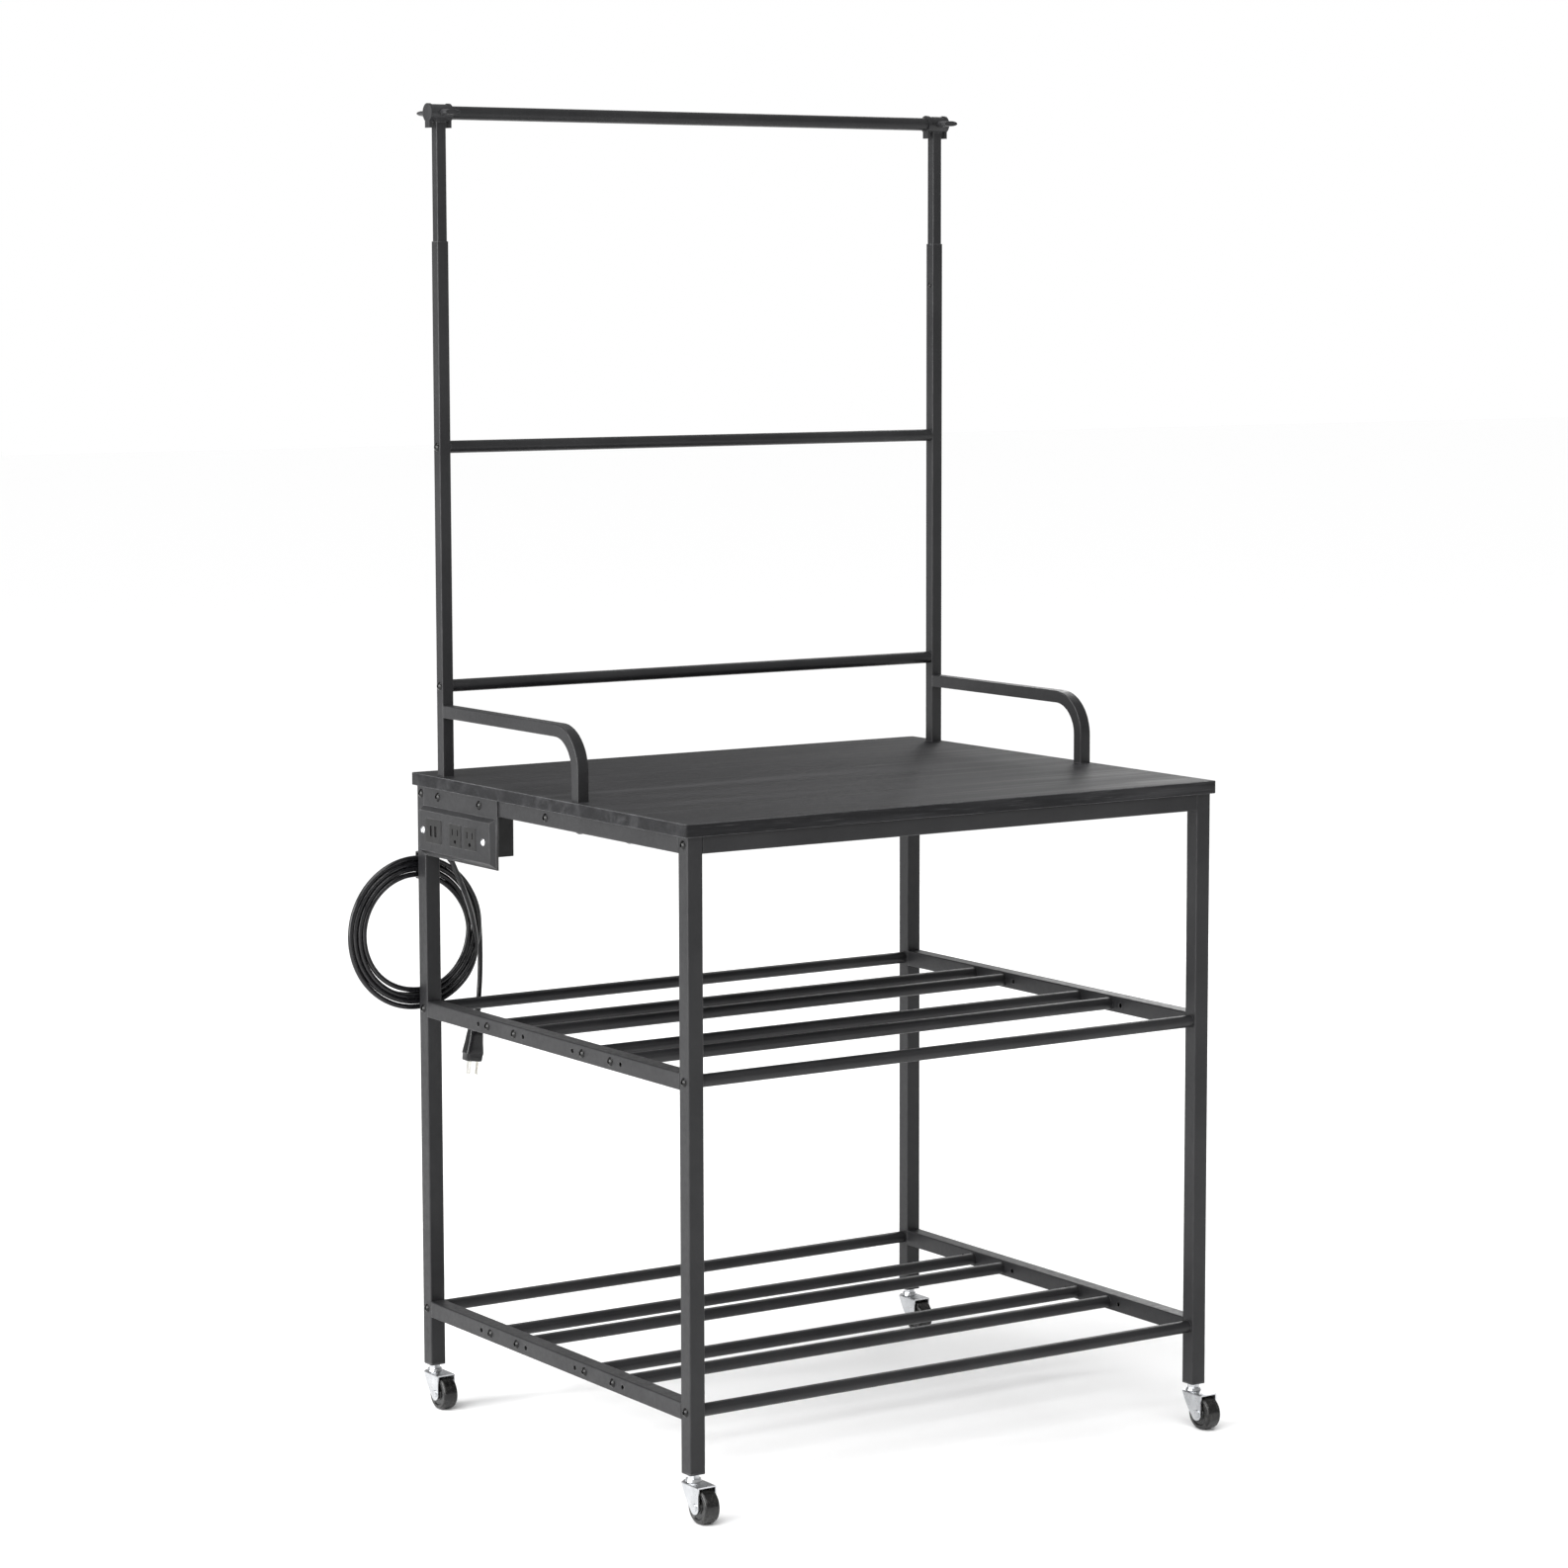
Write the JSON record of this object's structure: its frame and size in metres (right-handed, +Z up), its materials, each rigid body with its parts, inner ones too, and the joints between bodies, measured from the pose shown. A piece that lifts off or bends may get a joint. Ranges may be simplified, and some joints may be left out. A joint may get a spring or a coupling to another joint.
{
  "type": "spool holder stand",
  "caption": "Rolling square-tube stand with a laminate top, two shelves of spool rods, a raised spool rod on telescoping masts, side guard rails and a power outlet bar with a coiled cord.",
  "frame": {"origin": "on the floor, under the middle of the frame", "axes": "+X along the spool rods with the outlets on the -X side, +Y towards the masts at the back, +Z up"},
  "size_m": [0.8416, 0.676, 1.596],
  "materials": {
    "board": "charcoal wood-grain laminate, satin",
    "frame_steel": "matte black powder coat",
    "black_plastic": "moulded, satin",
    "black_screws": "black oxide, semi-gloss",
    "silver_screws": "bright zinc",
    "cord_black": "glossy vinyl",
    "zinc_plate": "bright zinc plate",
    "wheel_black": "moulded nylon, satin"
  },
  "bodies": {
    "stand": {"tabletop": "board", "leg_front_left": "frame_steel", "leg_front_right": "frame_steel", "leg_back_left": "frame_steel", "leg_back_right": "frame_steel", "top_rail_left": "frame_steel", "top_rail_right": "frame_steel", "top_rail_front": "frame_steel", "top_rail_middle": "frame_steel", "top_rail_back": "frame_steel", "mid_rail_left": "frame_steel", "mid_rail_right": "frame_steel", "low_rail_left": "frame_steel", "low_rail_right": "frame_steel", "mid_front_rods": "frame_steel", "mid_centre_rods": "frame_steel", "mid_back_rods": "frame_steel", "low_front_rods": "frame_steel", "low_centre_rods": "frame_steel", "low_back_rods": "frame_steel", "mast_sleeve_left": "frame_steel", "mast_sleeve_right": "frame_steel", "guard_rail_left": "frame_steel", "guard_rail_right": "frame_steel", "mast_crossbars": "frame_steel", "outlet_bracket": "frame_steel", "height_lock_screws": "black_screws", "frame_bolts": "black_screws", "tabletop_screws": "black_screws", "bracket_screws": "silver_screws", "power_strip_body": "black_plastic", "outlet_sockets": "black_plastic", "usb_module": "black_plastic", "coil_clip": "black_plastic", "leg_plugs": "black_plastic", "cord_gland": "cord_black", "power_cord": "cord_black", "cord_coil": "cord_black", "plug": "cord_black", "caster_stems": "zinc_plate"},
    "top_rack": {"inner_mast_left": "frame_steel", "inner_mast_right": "frame_steel", "spool_rod": "frame_steel", "rod_bracket_left": "black_plastic", "rod_bracket_right": "black_plastic", "clamp_bolts": "black_plastic"},
    "knob_left": {"clamp_knob_left": "black_plastic"},
    "knob_right": {"clamp_knob_right": "black_plastic"},
    "swivel_front_left": {"caster_yoke_front_left": "zinc_plate", "caster_axle_front_left": "zinc_plate"},
    "wheel_front_left": {"caster_wheel_front_left": "wheel_black"},
    "swivel_front_right": {"caster_yoke_front_right": "zinc_plate", "caster_axle_front_right": "zinc_plate"},
    "wheel_front_right": {"caster_wheel_front_right": "wheel_black"},
    "swivel_back_left": {"caster_yoke_back_left": "zinc_plate", "caster_axle_back_left": "zinc_plate"},
    "wheel_back_left": {"caster_wheel_back_left": "wheel_black"},
    "swivel_back_right": {"caster_yoke_back_right": "zinc_plate", "caster_axle_back_right": "zinc_plate"},
    "wheel_back_right": {"caster_wheel_back_right": "wheel_black"}
  },
  "joints": [
    {"name": "top_rack_slide", "type": "slide", "parent": "stand", "child": "top_rack", "axis": [0, 0, 1], "range_m": [-0.115, 0.055]},
    {"name": "clamp_knob_left_turn", "type": "hinge", "parent": "top_rack", "child": "knob_left", "pos_m": [-0.3625, 0.225, 1.585], "axis": [0, 1, 0], "continuous": true},
    {"name": "clamp_knob_right_turn", "type": "hinge", "parent": "top_rack", "child": "knob_right", "pos_m": [0.3625, 0.225, 1.585], "axis": [0, 1, 0], "continuous": true},
    {"name": "caster_front_left_swivel", "type": "hinge", "parent": "stand", "child": "swivel_front_left", "pos_m": [-0.36, -0.3, 0.0435], "axis": [0, 0, 1], "continuous": true},
    {"name": "caster_front_left_roll", "type": "hinge", "parent": "swivel_front_left", "child": "wheel_front_left", "pos_m": [-0.36, -0.322, 0.02], "axis": [1, 0, 0], "continuous": true},
    {"name": "caster_front_right_swivel", "type": "hinge", "parent": "stand", "child": "swivel_front_right", "pos_m": [0.36, -0.3, 0.0435], "axis": [0, 0, 1], "continuous": true},
    {"name": "caster_front_right_roll", "type": "hinge", "parent": "swivel_front_right", "child": "wheel_front_right", "pos_m": [0.36, -0.322, 0.02], "axis": [1, 0, 0], "continuous": true},
    {"name": "caster_back_left_swivel", "type": "hinge", "parent": "stand", "child": "swivel_back_left", "pos_m": [-0.36, 0.3, 0.0435], "axis": [0, 0, 1], "continuous": true},
    {"name": "caster_back_left_roll", "type": "hinge", "parent": "swivel_back_left", "child": "wheel_back_left", "pos_m": [-0.36, 0.278, 0.02], "axis": [1, 0, 0], "continuous": true},
    {"name": "caster_back_right_swivel", "type": "hinge", "parent": "stand", "child": "swivel_back_right", "pos_m": [0.36, 0.3, 0.0435], "axis": [0, 0, 1], "continuous": true},
    {"name": "caster_back_right_roll", "type": "hinge", "parent": "swivel_back_right", "child": "wheel_back_right", "pos_m": [0.36, 0.278, 0.02], "axis": [1, 0, 0], "continuous": true}
  ]
}
